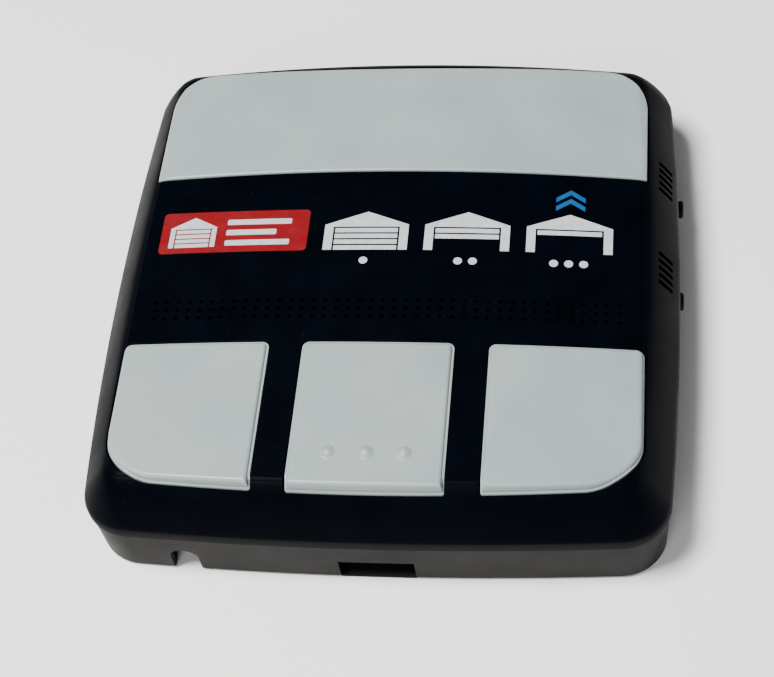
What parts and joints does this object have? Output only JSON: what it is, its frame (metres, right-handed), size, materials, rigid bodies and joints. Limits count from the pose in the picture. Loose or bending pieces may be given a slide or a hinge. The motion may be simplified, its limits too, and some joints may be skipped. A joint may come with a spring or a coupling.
{
  "type": "garage door opener",
  "caption": "Wall-mounted smart garage door controller: a flat square case with a wide warning light lens, translucent door buttons, a siren grille and small side buttons.",
  "frame": {"origin": "middle of the back face, on the plane that meets the wall", "axes": "+Z points out of the wall through the buttons, +Y is the top of the case where the lens is, +X is the side with the small buttons"},
  "size_m": [0.1267, 0.1284, 0.0287],
  "materials": {
    "cover_plastic": "satin moulded, fine texture",
    "housing_plastic": "satin moulded",
    "lens_white": "translucent white, smooth",
    "reflector_white": "white moulded",
    "board_green": "solder mask",
    "component_black": "moulded",
    "relay_blue": "moulded",
    "terminal_green": "moulded",
    "steel": "zinc plated",
    "brass": "plated",
    "aluminium": "plain",
    "foam": "closed-cell foam",
    "paper_cone": "pressed",
    "label_silver": "printed film, blank",
    "lamp_white": "clear resin"
  },
  "bodies": {
    "case": {"button_light_baffle": "reflector_white", "capacitor_large": "aluminium", "capacitor_small": "aluminium", "case_screw_1": "steel", "case_screw_2": "steel", "case_screw_3": "steel", "case_screw_4": "steel", "door_relay_left": "relay_blue", "door_relay_middle": "relay_blue", "door_relay_right": "relay_blue", "door_switch_left": "component_black", "door_switch_middle": "component_black", "door_switch_right": "component_black", "front_cover": "cover_plastic", "lens_light_box": "reflector_white", "main_circuit_board": "board_green", "power_inductor": "component_black", "power_jack": "component_black", "power_jack_pin": "brass", "processor_chip": "component_black", "radio_module_board": "board_green", "radio_shield_can": "aluminium", "rating_label": "label_silver", "rear_housing": "housing_plastic", "side_switch_lower": "component_black", "side_switch_upper": "component_black", "siren_cone": "paper_cone", "siren_frame": "steel", "siren_gasket": "foam", "siren_magnet": "component_black", "status_lamp_left": "lamp_white", "status_lamp_middle": "lamp_white", "status_lamp_right": "lamp_white", "terminal_block": "terminal_green", "terminal_screw_1": "steel", "terminal_screw_2": "steel", "terminal_screw_3": "steel", "terminal_screw_4": "steel", "terminal_screw_5": "steel", "terminal_screw_6": "steel", "warning_lamp_1": "lamp_white", "warning_lamp_2": "lamp_white", "warning_lamp_3": "lamp_white", "warning_lamp_4": "lamp_white", "warning_lamp_5": "lamp_white", "warning_lamp_6": "lamp_white", "warning_light_lens": "lens_white"},
    "door_button_left": {"door_button_left": "lens_white", "door_switch_plunger_left": "reflector_white"},
    "door_button_middle": {"door_button_middle": "lens_white", "door_switch_plunger_middle": "reflector_white"},
    "door_button_right": {"door_button_right": "lens_white", "door_switch_plunger_right": "reflector_white"},
    "side_button_upper": {"side_button_upper": "cover_plastic"},
    "side_button_lower": {"side_button_lower": "cover_plastic"}
  },
  "joints": [
    {"name": "door_button_left_press", "type": "slide", "parent": "case", "child": "door_button_left", "axis": [0, 0, -1], "range_m": [0, 0.0008], "stiffness_N_per_m": 1800, "springref_m": -0.0006},
    {"name": "door_button_middle_press", "type": "slide", "parent": "case", "child": "door_button_middle", "axis": [0, 0, -1], "range_m": [0, 0.0008], "stiffness_N_per_m": 1800, "springref_m": -0.0006},
    {"name": "door_button_right_press", "type": "slide", "parent": "case", "child": "door_button_right", "axis": [0, 0, -1], "range_m": [0, 0.0008], "stiffness_N_per_m": 1800, "springref_m": -0.0006},
    {"name": "side_button_upper_press", "type": "slide", "parent": "case", "child": "side_button_upper", "axis": [-1, 0, 0], "range_m": [0, 0.0005], "stiffness_N_per_m": 1500, "springref_m": -0.0005},
    {"name": "side_button_lower_press", "type": "slide", "parent": "case", "child": "side_button_lower", "axis": [-1, 0, 0], "range_m": [0, 0.0005], "stiffness_N_per_m": 1500, "springref_m": -0.0005}
  ]
}
